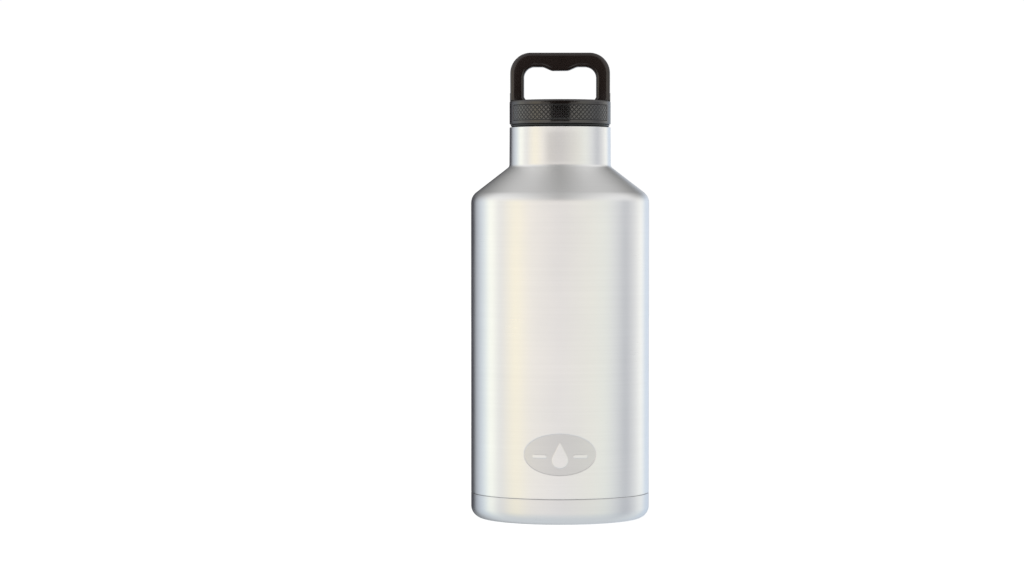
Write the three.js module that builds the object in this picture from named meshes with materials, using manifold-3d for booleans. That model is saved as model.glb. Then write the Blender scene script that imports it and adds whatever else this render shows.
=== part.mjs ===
// A 64 fl oz vacuum-insulated growler: double-walled steel flask and screw lid with a loop handle.
// Millimetres, +Z up, the origin at the centre of the base on the surface that it stands on.
// The front faces -Y, and the handle spans X.

import * as THREE from 'three';
import { mergeVertices } from 'three/addons/utils/BufferGeometryUtils.js';
import Module from 'manifold-3d';

const wasm = await Module();
wasm.setup();

// ---------------------------------------------------------------- driving dimensions

const SEGMENTS = 40; // sides of every round part, so that coaxial parts share their facets
const GAP = 0.3; // clearance between pieces that touch
const TOTAL_HEIGHT = 308;

// Flask body
const BODY_RADIUS = 59;
const SHELL_WALL = 0.6;
const NECK_RADIUS = 33.6;
const RIM_RADIUS = 33.45;
const RIM_TOP = 258.6;
const NECK_CORNER_Z = 232.7;
const BODY_CORNER_Z = 213.1;
const NECK_FILLET = 3;
const BODY_FILLET = 9;
const SEAM_Z = 17; // weld seam between the shell and the base cup
const LAP = 4; // overlap of the joggled laps

// Base
const BASE_CORNER = 8;
const FOOT_INNER_RADIUS = 46;
const RECESS_RADIUS = 44;
const RECESS_Z = 3.5;
const DIMPLE_RADIUS = 8;
const DIMPLE_CEILING_RADIUS = 5;
const DIMPLE_CEILING_Z = 5.5;
const VENT_RADIUS = 1; // hole through which the space between the walls is evacuated
const COVER_THICKNESS = 0.6;
const COVER_RADIUS = 43.5;

// Inner liner
const LINER_WALL = 0.5;
const LINER_RADIUS = 55;
const LINER_NECK_RADIUS = 31.5;
const VACUUM_GAP = 3.5; // between the two shoulders
const LINER_SEAM_Z = 16;
const LINER_FLOOR_Z = 9.5;
const LINER_CORNER = 6;
const COUNTERBORE_Z = 256.3;
const COUNTERBORE_RADIUS = 31.8;
const FOIL_BOTTOM = 24;
const FOIL_TOP = 204;
const GETTER_X = 25;

// Mouth ring
const RING_TOP = 260.3;
const RING_RADIUS = 33.2;
const RING_BORE = 30.8;
const RING_SPIGOT_RADIUS = 31.5;

// Lid cap
const CAP_BOTTOM = 260.6;
const CAP_TOP = 276.3;
const CAP_RADIUS = 33.8;
const CAP_BORE = 31.4;
const CAP_DECK = 2.2;
const CAP_BEVEL = 1.2;
const PANEL_HALF_ANGLE = 67.5; // degrees each side of front and rear
const PANEL_BOTTOM = 262.9;
const PANEL_TOP = 273.1;
const PANEL_RECESS = 0.9;
const PANEL_THICKNESS = 0.5;
const EAR_TOP = 281.4;
const EAR_INNER_X = 32.2;
const EAR_OUTER_RADIUS = 33.4;
const EAR_HALF_DEPTH = 4.2;

// Handle
const HANDLE_HALF_WIDTH = 33;
const HANDLE_DEPTH = 13;
const HANDLE_CORNER = 13.6;
const LEG_WIDTH = 9.15;
const BAR_HEIGHT = 9.35;
const BUMP_DROP = 2.5;
const BUMP_HALF_WIDTH = 5.4;
const BUMP_SLOPE = 5.8;
const OPENING_CORNER = 7.2;
const FOOT_FLARE_WIDTH = 1.3;
const FOOT_FLARE_HEIGHT = 2;
const HANDLE_CHAMFER = 1.8;
const TENON_INNER_X = 25.6;
const TENON_OUTER_X = 30.8;
const TENON_HALF_DEPTH = 4;

// Plug and screw thread
const THREAD_LEAD = 4;
const PLUG_FLANGE_RADIUS = 31.1;
const PLUG_ROOT = 29.4;
const PLUG_CREST = 30.5;
const PLUG_BORE = 26.8;
const PLUG_FLOOR_Z = 245.3;
const PLUG_FLOOR = 2;
const PLUG_BOTTOM = 235.5;
const PLUG_SEAM_Z = 241.5;
const PLUG_CORNER = 3;
const SEAL_GROOVE_RADIUS = 28.3;
const SEAL_BOTTOM = 258.7;
const LINER_CREST = 29.8;
const MALE_THREAD = { start: -0.25, turns: 2.375, zAtZero: 248.2, rootWidth: 1.9, crestWidth: 1 };
const FEMALE_THREAD = { start: 0.125, turns: 1.875, zAtZero: 246.2, rootWidth: 2, crestWidth: 1 };
const THREAD_RUN_OUT = 0.125; // turns over which a thread rises from its root

// ---------------------------------------------------------------- materials

const finish = (color, roughness, metalness) =>
  new THREE.MeshStandardMaterial({ color, roughness, metalness });

const brushedSteel = () => finish(0xd6d4d0, 0.32, 1);
const innerSteel = () => finish(0xb9b7b3, 0.4, 1);
const satinBlack = () => finish(0x241f1c, 0.55, 0);
const glossBlack = () => finish(0x141211, 0.25, 0);
const blackRubber = () => finish(0x0e0e0e, 0.7, 0);

// ---------------------------------------------------------------- helpers

const radians = THREE.MathUtils.degToRad;

// A closed solid of revolution about Z. The (radius, z) points run anticlockwise:
// up the outside and down the inside, or from the axis round to the axis.
function revolve(points) {
  const first = points[0];
  const profile = points.map(([r, z]) => new THREE.Vector2(r, z));
  if (first[0] > 0) profile.push(new THREE.Vector2(first[0], first[1]));
  return new THREE.LatheGeometry(profile, SEGMENTS).rotateX(Math.PI / 2);
}

// Points on an arc, from and to in degrees, anticlockwise when `to` is the larger.
function arc(centreR, centreZ, radius, from, to, steps) {
  const points = [];
  for (let i = 0; i <= steps; i += 1) {
    const angle = radians(from + ((to - from) * i) / steps);
    points.push([centreR + radius * Math.cos(angle), centreZ + radius * Math.sin(angle)]);
  }
  return points;
}

function box(minX, maxX, minY, maxY, minZ, maxZ) {
  const geometry = new THREE.BoxGeometry(maxX - minX, maxY - minY, maxZ - minZ);
  return geometry.translate((minX + maxX) / 2, (minY + maxY) / 2, (minZ + maxZ) / 2);
}

function extrude(shape, depth, curveSegments = 6) {
  return new THREE.ExtrudeGeometry(shape, { depth, curveSegments, bevelEnabled: false });
}

// A curved plate between two radii, centred on a direction given in degrees.
function curvedPlate(innerRadius, outerRadius, direction, halfAngle, minZ, maxZ) {
  const from = radians(direction - halfAngle);
  const to = radians(direction + halfAngle);
  const shape = new THREE.Shape();
  shape.absarc(0, 0, outerRadius, from, to, false);
  shape.absarc(0, 0, innerRadius, to, from, true);
  const sides = Math.round((2 * halfAngle * SEGMENTS) / 360);
  return extrude(shape, maxZ - minZ, sides).translate(0, 0, minZ);
}

// One ridge of a right-hand screw thread, a long thin box bent into a helix. It is sunk a
// little below the surface that it stands on, and it runs out to nothing at both ends.
function threadRidge(rootRadius, crestRadius, thread) {
  const side = Math.sign(crestRadius - rootRadius);
  const sunkRoot = rootRadius - side * 0.25;
  const hidden = rootRadius - side * 0.1;
  const ridge = new THREE.BoxGeometry(1, 1, 1, Math.round(thread.turns * SEGMENTS), 1, 1);
  const position = ridge.getAttribute('position');
  for (let i = 0; i < position.count; i += 1) {
    const along = position.getX(i) + 0.5;
    const atCrest = position.getZ(i) > 0;
    const turnsFromEnd = Math.min(along, 1 - along) * thread.turns;
    const rise = Math.min(1, turnsFromEnd / THREAD_RUN_OUT);
    const crest = THREE.MathUtils.lerp(hidden, crestRadius, rise);
    const radius = atCrest ? crest : sunkRoot;
    const width = atCrest ? thread.crestWidth : thread.rootWidth;
    const turn = thread.start + along * thread.turns;
    const angle = turn * 2 * Math.PI;
    const z = thread.zAtZero + turn * THREAD_LEAD + position.getY(i) * width * side;
    position.setXYZ(i, radius * Math.cos(angle), radius * Math.sin(angle), z);
  }
  return ridge;
}

// Booleans: three.js geometry in, three.js geometry out.
function toSolid(geometry) {
  const bare = geometry.clone();
  bare.deleteAttribute('normal');
  bare.deleteAttribute('uv');
  const merged = mergeVertices(bare, 1e-4);
  const corners = [];
  for (let i = 0; i < merged.index.count; i += 3) {
    const [a, b, c] = [0, 1, 2].map((k) => merged.index.getX(i + k));
    if (a !== b && b !== c && c !== a) corners.push(a, b, c);
  }
  const vertProperties = new Float32Array(merged.getAttribute('position').array);
  const triVerts = new Uint32Array(corners);
  return new wasm.Manifold(new wasm.Mesh({ numProp: 3, vertProperties, triVerts }));
}

function toGeometry(solid) {
  const mesh = solid.getMesh();
  const geometry = new THREE.BufferGeometry();
  geometry.setAttribute('position', new THREE.BufferAttribute(mesh.vertProperties, 3));
  geometry.setIndex(new THREE.BufferAttribute(mesh.triVerts, 1));
  return geometry;
}

function combine(base, added, removed) {
  let solid = toSolid(base);
  for (const geometry of added) solid = solid.add(toSolid(geometry));
  for (const geometry of removed) solid = solid.subtract(toSolid(geometry));
  return toGeometry(solid);
}

// Both sides of a piece that is mirrored across the YZ plane, given the +X side's limits.
function boxPair(minX, maxX, minY, maxY, minZ, maxZ) {
  return [box(minX, maxX, minY, maxY, minZ, maxZ), box(-maxX, -minX, minY, maxY, minZ, maxZ)];
}

// ---------------------------------------------------------------- shoulder line

// The shoulder is a cone between two fillets. `inset` moves the whole line inwards.
const SHOULDER_RUN = BODY_RADIUS - NECK_RADIUS;
const SHOULDER_RISE = NECK_CORNER_Z - BODY_CORNER_Z;
const SHOULDER_ANGLE = Math.atan2(SHOULDER_RISE, SHOULDER_RUN);
const TURN = 90 - THREE.MathUtils.radToDeg(SHOULDER_ANGLE); // bend at each corner, in degrees

// Points from the body up to the neck, for walls of the given radii whose cone lies
// `inset` inside the outer one.
function shoulder(bodyRadius, neckRadius, inset, bodyFillet, neckFillet) {
  const slope = SHOULDER_RISE / SHOULDER_RUN;
  const drop = inset / Math.cos(SHOULDER_ANGLE);
  const coneZ = (r) => NECK_CORNER_Z - drop - (r - NECK_RADIUS) * slope;
  const reach = Math.tan(radians(TURN / 2));
  const bodyZ = coneZ(bodyRadius) - bodyFillet * reach;
  const neckZ = coneZ(neckRadius) + neckFillet * reach;
  return [
    ...arc(bodyRadius - bodyFillet, bodyZ, bodyFillet, 0, TURN, 3),
    ...arc(neckRadius + neckFillet, neckZ, neckFillet, 180 + TURN, 180, 2),
  ];
}

// ---------------------------------------------------------------- flask

function outerShell() {
  const wall = SHELL_WALL;
  const bottom = SEAM_Z + GAP / 2;
  return revolve([
    [BODY_RADIUS, bottom],
    ...shoulder(BODY_RADIUS, NECK_RADIUS, 0, BODY_FILLET, NECK_FILLET),
    [RIM_RADIUS, RIM_TOP],
    [RIM_RADIUS - wall, RIM_TOP],
    ...shoulder(BODY_RADIUS - wall, NECK_RADIUS - wall, wall, BODY_FILLET - wall,
      NECK_FILLET + wall).reverse(),
    [BODY_RADIUS - wall, bottom],
  ]);
}

function baseCup() {
  const wall = SHELL_WALL;
  const top = SEAM_Z - GAP / 2;
  const lapRadius = BODY_RADIUS - wall - GAP;
  const footOuter = BODY_RADIUS - BASE_CORNER;
  return revolve([
    [VENT_RADIUS, DIMPLE_CEILING_Z],
    [DIMPLE_CEILING_RADIUS, DIMPLE_CEILING_Z],
    [DIMPLE_RADIUS, RECESS_Z],
    [RECESS_RADIUS, RECESS_Z],
    [FOOT_INNER_RADIUS, 0],
    ...arc(footOuter, BASE_CORNER, BASE_CORNER, -90, 0, 3),
    [BODY_RADIUS, top],
    [lapRadius, top],
    [lapRadius, SEAM_Z + LAP],
    [lapRadius - wall, SEAM_Z + LAP],
    [lapRadius - wall, top - wall],
    ...arc(footOuter, BASE_CORNER, BASE_CORNER - wall, 0, -90, 2),
    [FOOT_INNER_RADIUS + wall / 2, wall],
    [RECESS_RADIUS + wall / 2, RECESS_Z + wall],
    [DIMPLE_RADIUS + wall / 2, RECESS_Z + wall],
    [DIMPLE_CEILING_RADIUS + wall / 2, DIMPLE_CEILING_Z + wall],
    [VENT_RADIUS, DIMPLE_CEILING_Z + wall],
  ]);
}

// A thin disc that hides the evacuation hole and its bead.
function baseCover() {
  const top = RECESS_Z - GAP;
  const bottom = top - COVER_THICKNESS;
  return revolve([[0, bottom], [COVER_RADIUS, bottom], [COVER_RADIUS, top], [0, top]]);
}

// The glass bead that closes the evacuation hole.
function vacuumSeal() {
  const top = DIMPLE_CEILING_Z - GAP;
  return revolve([[0, top - 1.2], [2.2, top - 1.1], [3.2, top - 0.4], [3, top], [0, top]]);
}

function innerLiner() {
  const wall = LINER_WALL;
  const bottom = LINER_SEAM_Z + GAP / 2;
  const neck = LINER_NECK_RADIUS;
  const bore = COUNTERBORE_RADIUS;
  const flangeRadius = RIM_RADIUS - SHELL_WALL - GAP;
  const tube = revolve([
    [LINER_RADIUS, bottom],
    ...shoulder(LINER_RADIUS, neck, VACUUM_GAP, BODY_FILLET - 2, NECK_FILLET + 2),
    [neck, COUNTERBORE_Z - wall],
    [bore + wall, COUNTERBORE_Z - wall],
    [bore + wall, RIM_TOP - wall],
    [flangeRadius, RIM_TOP - wall],
    [flangeRadius, RIM_TOP],
    [bore, RIM_TOP],
    [bore, COUNTERBORE_Z],
    [neck - wall, COUNTERBORE_Z],
    ...shoulder(LINER_RADIUS - wall, neck - wall, VACUUM_GAP + wall, BODY_FILLET - 2 - wall,
      NECK_FILLET + 2 + wall).reverse(),
    [LINER_RADIUS - wall, bottom],
  ]);
  return combine(tube, [threadRidge(neck - wall, LINER_CREST, FEMALE_THREAD)], []);
}

function linerBottom() {
  const wall = LINER_WALL;
  const top = LINER_SEAM_Z - GAP / 2;
  const lapRadius = LINER_RADIUS - wall - GAP;
  const cornerR = LINER_RADIUS - LINER_CORNER;
  const cornerZ = LINER_FLOOR_Z + LINER_CORNER;
  return revolve([
    [0, LINER_FLOOR_Z],
    ...arc(cornerR, cornerZ, LINER_CORNER, -90, 0, 3),
    [LINER_RADIUS, top],
    [lapRadius, top],
    [lapRadius, LINER_SEAM_Z + LAP],
    [lapRadius - wall, LINER_SEAM_Z + LAP],
    [lapRadius - wall, top - wall],
    ...arc(cornerR, cornerZ, LINER_CORNER - wall, -10, -90, 2),
    [0, LINER_FLOOR_Z + wall],
  ]);
}

// Copper foil wound round the liner, which stops heat radiating across the vacuum.
function heatShieldFoil() {
  const inner = LINER_RADIUS + GAP;
  const outer = inner + 0.2;
  return revolve([[outer, FOIL_BOTTOM], [outer, FOIL_TOP], [inner, FOIL_TOP], [inner, FOIL_BOTTOM]]);
}

// A bent strip under the liner's floor that holds the getter pellet.
function getterHolder() {
  const top = LINER_FLOOR_Z - GAP;
  const bottom = top - 3;
  const sheet = 0.4;
  const outline = new THREE.Shape();
  outline.moveTo(-3, bottom);
  outline.lineTo(-3, bottom + sheet);
  outline.lineTo(-4.7, bottom + sheet);
  outline.lineTo(-4.7, top - sheet);
  outline.lineTo(4.7, top - sheet);
  outline.lineTo(4.7, bottom + sheet);
  outline.lineTo(3, bottom + sheet);
  outline.lineTo(3, bottom);
  outline.lineTo(5.1, bottom);
  outline.lineTo(5.1, top);
  outline.lineTo(-5.1, top);
  outline.lineTo(-5.1, bottom);
  const strip = extrude(outline, 12).translate(0, 0, -6);
  return strip.rotateX(Math.PI / 2).rotateZ(Math.PI / 2).translate(GETTER_X, 0, 0);
}

// The pellet that soaks up stray gas between the walls.
function getterPellet() {
  const pellet = new THREE.CylinderGeometry(4, 4, 1.5, 24).rotateX(Math.PI / 2);
  return pellet.translate(GETTER_X, 0, LINER_FLOOR_Z - 1.65);
}

function mouthRing() {
  const flangeBottom = RIM_TOP + GAP;
  const spigotBottom = COUNTERBORE_Z + GAP;
  return revolve([
    [RING_BORE, spigotBottom],
    [RING_SPIGOT_RADIUS, spigotBottom],
    [RING_SPIGOT_RADIUS, flangeBottom],
    [RING_RADIUS, flangeBottom],
    [RING_RADIUS, RING_TOP],
    [RING_BORE, RING_TOP],
  ]);
}

// ---------------------------------------------------------------- lid

function lidSeal() {
  const inner = SEAL_GROOVE_RADIUS + GAP;
  const top = CAP_BOTTOM - GAP;
  return revolve([
    [inner, SEAL_BOTTOM],
    [PLUG_CREST - 0.5, SEAL_BOTTOM],
    [PLUG_CREST, SEAL_BOTTOM + 0.6],
    [PLUG_CREST, top - 0.6],
    [PLUG_CREST - 0.5, top],
    [inner, top],
  ]);
}

// The plug is a cup that the cap closes, and its thread and the seal's groove are outside.
function threadedPlug() {
  const top = CAP_TOP - CAP_DECK - GAP;
  const bottom = PLUG_SEAM_Z + GAP / 2;
  const grooveBottom = SEAL_BOTTOM - GAP;
  const tube = revolve([
    [0, PLUG_FLOOR_Z],
    [PLUG_BORE, PLUG_FLOOR_Z],
    [PLUG_BORE, bottom],
    [PLUG_ROOT, bottom],
    [PLUG_ROOT, grooveBottom],
    [SEAL_GROOVE_RADIUS, grooveBottom],
    [SEAL_GROOVE_RADIUS, CAP_BOTTOM],
    [PLUG_FLANGE_RADIUS, CAP_BOTTOM],
    [PLUG_FLANGE_RADIUS, top],
    [PLUG_BORE, top],
    [PLUG_BORE, PLUG_FLOOR_Z + PLUG_FLOOR],
    [0, PLUG_FLOOR_Z + PLUG_FLOOR],
  ]);
  return combine(tube, [threadRidge(PLUG_ROOT, PLUG_CREST, MALE_THREAD)], []);
}

function plugEndCap() {
  const wall = 2;
  const shoulderZ = PLUG_SEAM_Z - GAP / 2;
  const spigot = PLUG_BORE - GAP;
  const spigotTop = PLUG_FLOOR_Z - GAP;
  return revolve([
    [0, PLUG_BOTTOM],
    ...arc(PLUG_ROOT - PLUG_CORNER, PLUG_BOTTOM + PLUG_CORNER, PLUG_CORNER, -90, 0, 3),
    [PLUG_ROOT, shoulderZ],
    [spigot, shoulderZ],
    [spigot, spigotTop],
    [spigot - wall, spigotTop],
    [spigot - wall, PLUG_BOTTOM + wall],
    [0, PLUG_BOTTOM + wall],
  ]);
}

// Insulating foam that fills the plug's cup.
function foamCore() {
  const bottom = PLUG_FLOOR_Z + PLUG_FLOOR + GAP;
  const top = CAP_TOP - CAP_DECK - GAP;
  const radius = PLUG_BORE - GAP;
  return revolve([[0, bottom], [radius, bottom], [radius, top], [0, top]]);
}

function capShell() {
  const deckBottom = CAP_TOP - CAP_DECK;
  const cup = revolve([
    [CAP_BORE, CAP_BOTTOM],
    [CAP_RADIUS, CAP_BOTTOM],
    [CAP_RADIUS, CAP_TOP - CAP_BEVEL],
    [CAP_RADIUS - CAP_BEVEL, CAP_TOP],
    [0, CAP_TOP],
    [0, deckBottom],
    [CAP_BORE, deckBottom],
  ]);
  const recessFloor = CAP_RADIUS - PANEL_RECESS;
  const recesses = [-90, 90].map((direction) => curvedPlate(recessFloor, CAP_RADIUS + 1,
    direction, PANEL_HALF_ANGLE, PANEL_BOTTOM, PANEL_TOP));
  const slots = boxPair(TENON_INNER_X - GAP, TENON_OUTER_X + GAP, -TENON_HALF_DEPTH - GAP,
    TENON_HALF_DEPTH + GAP, deckBottom - 1, CAP_TOP + 1);
  return combine(cup, [lidEar(1), lidEar(-1)], [...recesses, ...slots]);
}

// A tab of the cap that rises in a shallow recess in the outer side of each leg of the handle.
function lidEar(side) {
  const halfAngle = THREE.MathUtils.radToDeg(Math.asin(EAR_HALF_DEPTH / EAR_OUTER_RADIUS));
  const plate = curvedPlate(EAR_INNER_X - 2, EAR_OUTER_RADIUS, side > 0 ? 0 : 180, halfAngle,
    CAP_TOP - CAP_BEVEL - 1, EAR_TOP);
  const inside = box(-EAR_INNER_X, EAR_INNER_X, -20, 20, CAP_TOP, EAR_TOP + 1);
  return combine(plate, [], [inside]);
}

function gripPanel(direction) {
  const inner = CAP_RADIUS - PANEL_RECESS + GAP;
  const halfAngle = PANEL_HALF_ANGLE - THREE.MathUtils.radToDeg(GAP / inner);
  return curvedPlate(inner, inner + PANEL_THICKNESS, direction, halfAngle,
    PANEL_BOTTOM + GAP, PANEL_TOP - GAP);
}

// The loop, drawn in its own plane: x across and y up, from its left foot round to its right.
function handleOutline() {
  const foot = CAP_TOP + GAP;
  const outer = HANDLE_HALF_WIDTH;
  const inner = outer - LEG_WIDTH;
  const underside = TOTAL_HEIGHT - BAR_HEIGHT;
  const bumpEdge = BUMP_HALF_WIDTH + BUMP_SLOPE;
  const shape = new THREE.Shape();
  shape.moveTo(-outer, foot);
  shape.lineTo(-inner + FOOT_FLARE_WIDTH, foot);
  shape.lineTo(-inner, foot + FOOT_FLARE_HEIGHT);
  shape.absarc(-inner + OPENING_CORNER, underside - OPENING_CORNER, OPENING_CORNER,
    Math.PI, Math.PI / 2, true);
  shape.lineTo(-bumpEdge, underside);
  shape.lineTo(-BUMP_HALF_WIDTH, underside - BUMP_DROP);
  shape.lineTo(BUMP_HALF_WIDTH, underside - BUMP_DROP);
  shape.lineTo(bumpEdge, underside);
  shape.absarc(inner - OPENING_CORNER, underside - OPENING_CORNER, OPENING_CORNER,
    Math.PI / 2, 0, true);
  shape.lineTo(inner, foot + FOOT_FLARE_HEIGHT);
  shape.lineTo(inner - FOOT_FLARE_WIDTH, foot);
  shape.lineTo(outer, foot);
  shape.absarc(outer - HANDLE_CORNER, TOTAL_HEIGHT - HANDLE_CORNER, HANDLE_CORNER,
    0, Math.PI / 2, false);
  shape.absarc(-outer + HANDLE_CORNER, TOTAL_HEIGHT - HANDLE_CORNER, HANDLE_CORNER,
    Math.PI / 2, Math.PI, false);
  return shape;
}

function carryHandle() {
  const chamfer = HANDLE_CHAMFER;
  const flat = HANDLE_DEPTH - 2 * chamfer;
  const loop = new THREE.ExtrudeGeometry(handleOutline(), {
    depth: flat,
    curveSegments: 5,
    bevelSegments: 1,
    bevelThickness: chamfer,
    bevelSize: chamfer,
    bevelOffset: -chamfer,
  });
  loop.translate(0, 0, -flat / 2).rotateX(Math.PI / 2);
  const tenons = boxPair(TENON_INNER_X, TENON_OUTER_X, -TENON_HALF_DEPTH, TENON_HALF_DEPTH,
    CAP_TOP - CAP_DECK + GAP, CAP_TOP + 2);
  const earClearance = boxPair(EAR_INNER_X - GAP, HANDLE_HALF_WIDTH + 1, -EAR_HALF_DEPTH - GAP,
    EAR_HALF_DEPTH + GAP, CAP_TOP - 1, EAR_TOP + GAP);
  return combine(loop, tenons, earClearance);
}

// ---------------------------------------------------------------- assembly

const growler = new THREE.Group();

function addPart(name, geometry, material) {
  const mesh = new THREE.Mesh(geometry, material);
  mesh.name = name;
  growler.add(mesh);
}

addPart('outer_shell', outerShell(), brushedSteel());
addPart('base_cup', baseCup(), brushedSteel());
addPart('base_cover', baseCover(), brushedSteel());
addPart('vacuum_seal', vacuumSeal(), finish(0x6d6f66, 0.15, 0));
addPart('inner_liner', innerLiner(), innerSteel());
addPart('liner_bottom', linerBottom(), innerSteel());
addPart('heat_shield_foil', heatShieldFoil(), finish(0xc0764a, 0.25, 1));
addPart('getter_holder', getterHolder(), innerSteel());
addPart('getter_pellet', getterPellet(), finish(0x5f5f62, 0.8, 0.4));
addPart('mouth_ring', mouthRing(), blackRubber());
addPart('lid_seal', lidSeal(), blackRubber());
addPart('threaded_plug', threadedPlug(), glossBlack());
addPart('plug_end_cap', plugEndCap(), glossBlack());
addPart('foam_core', foamCore(), finish(0xe9e2cf, 0.95, 0));
addPart('cap_shell', capShell(), satinBlack());
addPart('grip_panel_front', gripPanel(-90), satinBlack());
addPart('grip_panel_rear', gripPanel(90), satinBlack());
addPart('carry_handle', carryHandle(), satinBlack());

export default growler;
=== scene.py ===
# The looks of a 64 fl oz vacuum growler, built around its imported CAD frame.
# Shapes are made in millimetres and scaled once, +Z is up, the front faces -Y,
# and the closed lid's handle spans X.
import math

import bmesh
import bpy
import numpy as np
from mathutils import Matrix, Vector


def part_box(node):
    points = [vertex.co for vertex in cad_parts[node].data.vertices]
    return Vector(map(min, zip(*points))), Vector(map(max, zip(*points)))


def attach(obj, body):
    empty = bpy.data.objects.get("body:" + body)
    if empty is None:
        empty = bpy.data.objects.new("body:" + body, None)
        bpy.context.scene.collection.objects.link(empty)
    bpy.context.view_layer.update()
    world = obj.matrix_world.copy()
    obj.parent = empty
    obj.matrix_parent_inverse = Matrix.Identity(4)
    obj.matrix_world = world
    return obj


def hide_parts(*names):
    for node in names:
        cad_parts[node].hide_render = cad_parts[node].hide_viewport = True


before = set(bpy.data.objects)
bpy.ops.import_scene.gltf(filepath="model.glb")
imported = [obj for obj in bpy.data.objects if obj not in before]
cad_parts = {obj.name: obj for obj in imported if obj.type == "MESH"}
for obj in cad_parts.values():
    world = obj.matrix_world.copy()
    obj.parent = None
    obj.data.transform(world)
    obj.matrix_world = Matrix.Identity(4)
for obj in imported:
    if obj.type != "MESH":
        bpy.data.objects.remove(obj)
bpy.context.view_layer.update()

MM = 0.001
TAU = 2 * math.pi
GAP = 0.3  # clearance that the CAD keeps between pieces that touch


# ---------------------------------------------------------------- sizes, from the frame

def span(node):
    """A CAD node's lowest and highest corners, in millimetres."""
    low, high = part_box(node)
    return low / MM, high / MM


shell_low, shell_high = span("outer_shell")
cup_high = span("base_cup")[1]
cover_low, cover_high = span("base_cover")
bead_low, bead_high = span("vacuum_seal")
liner_low, liner_high = span("inner_liner")
liner_bottom_low, liner_bottom_high = span("liner_bottom")
foil_low, foil_high = span("heat_shield_foil")
pellet_low, pellet_high = span("getter_pellet")
ring_low, ring_high = span("mouth_ring")
seal_low, seal_high = span("lid_seal")
plug_low, plug_high = span("threaded_plug")
end_low, end_high = span("plug_end_cap")
foam_low, foam_high = span("foam_core")
cap_low, cap_high = span("cap_shell")
panel_low, panel_high = span("grip_panel_front")
handle_low, handle_high = span("carry_handle")

BODY_RADIUS = shell_high.x
SHELL_BOTTOM = shell_low.z
RIM_TOP = shell_high.z
SHELL_WALL = 0.6
NECK_RADIUS = 33.6
RIM_RADIUS = 33.45
NECK_CORNER_Z = 232.7
BODY_CORNER_Z = 213.1
BODY_FILLET = 9
NECK_FILLET = 3

LINER_WALL = 0.5
LINER_RADIUS = liner_high.x
LINER_NECK_RADIUS = 31.5
LINER_INSET = 3.5  # of the liner's shoulder below the shell's

CAP_RADIUS = cap_high.x - 0.3
CAP_BOTTOM = cap_low.z
CAP_TOP = 276.3
CAP_BORE = 31.4
CAP_DECK = 2.2
PANEL_HALF_ANGLE = math.radians(67.5)
PANEL_RECESS = 0.9
EAR_INNER_X = 32.2
EAR_RADIUS = 33.4
EAR_HALF_DEPTH = 4.2
TENON_INNER_X, TENON_OUTER_X = 25.6, 30.8  # where the handle's feet go through the cap's deck
TENON_HALF_DEPTH = 4

THREAD_LEAD = 4
PLUG_ROOT = 29.4
PLUG_CREST = seal_high.x
PLUG_BORE = foam_high.x + GAP


# ---------------------------------------------------------------- outlines

def arc(centre_x, centre_y, radius, start, end, steps):
    """Points on an arc, from start to end in degrees."""
    angles = np.radians(np.linspace(start, end, steps + 1))
    return [(centre_x + radius * math.cos(a), centre_y + radius * math.sin(a), 0) for a in angles]


def rounded(corners, closed=True, step=12):
    """Rounds (x, y, radius) corners, with one point to every `step` degrees or so."""
    points = []
    for i, (x, y, radius) in enumerate(corners):
        here = Vector((x, y))
        is_end = not closed and i in (0, len(corners) - 1)
        if radius == 0 or is_end:
            points.append((x, y))
            continue
        back = (Vector(corners[i - 1][:2]) - here).normalized()
        on = (Vector(corners[(i + 1) % len(corners)][:2]) - here).normalized()
        half = back.angle(on) / 2
        centre = here + (back + on).normalized() * radius / math.sin(half)
        first = here + back * radius / math.tan(half) - centre
        turn = math.copysign(math.pi - 2 * half, back.cross(on))
        steps = max(2, math.ceil(abs(math.degrees(turn)) / step))
        for k in range(steps + 1):
            spoke = Matrix.Rotation(-turn * k / steps, 2) @ first
            points.append(tuple(centre + spoke))
    return points


def with_rows(path, low, high, spacing, side):
    """Adds rows to the upright stretch of a (radius, z) path that lies at radius `side`."""
    dense = []
    for i, point in enumerate(path):
        dense.append(point)
        following = path[(i + 1) % len(path)]
        upright = abs(point[0] - side) < 0.2 and abs(following[0] - side) < 0.2
        if not upright:
            continue
        rows = np.arange(low, high + spacing / 2, spacing)
        bottom, top = sorted((point[1], following[1]))
        rows = [z for z in rows if bottom + spacing / 4 < z < top - spacing / 4]
        if following[1] < point[1]:
            rows.reverse()
        for z in rows:
            share = (z - point[1]) / (following[1] - point[1])
            dense.append((point[0] + (following[0] - point[0]) * share, z))
    return dense


def shoulder(body_radius, neck_radius, inset, body_fillet, neck_fillet):
    """The two corners of a shoulder line that lies `inset` inside the shell's outer one."""
    slope = (NECK_CORNER_Z - BODY_CORNER_Z) / (BODY_RADIUS - NECK_RADIUS)
    drop = inset * math.hypot(1, slope)

    def cone_z(radius):
        return NECK_CORNER_Z - drop - (radius - NECK_RADIUS) * slope

    return [(body_radius, cone_z(body_radius), body_fillet),
            (neck_radius, cone_z(neck_radius), neck_fillet)]


def smooth_step(values, start, end):
    share = np.clip((values - start) / (end - start), 0, 1)
    return share * share * (3 - 2 * share)


# ---------------------------------------------------------------- meshes

def ring_angles(columns):
    return np.arange(columns) * TAU / columns


def lathe(path, angles):
    """A closed (radius, z) path swept round Z: an array of columns x path points x 3."""
    radius, z = np.array(path, float).T
    x = np.outer(np.cos(angles), radius)
    y = np.outer(np.sin(angles), radius)
    return np.stack([x, y, np.broadcast_to(z, x.shape)], axis=-1)


def polar(points):
    return np.hypot(points[..., 0], points[..., 1]), np.arctan2(points[..., 1], points[..., 0])


def with_radius(points, radius):
    """Moves points in or out, square to Z, to new radii."""
    _, angle = polar(points)
    return np.stack([radius * np.cos(angle), radius * np.sin(angle), points[..., 2]], axis=-1)


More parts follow.
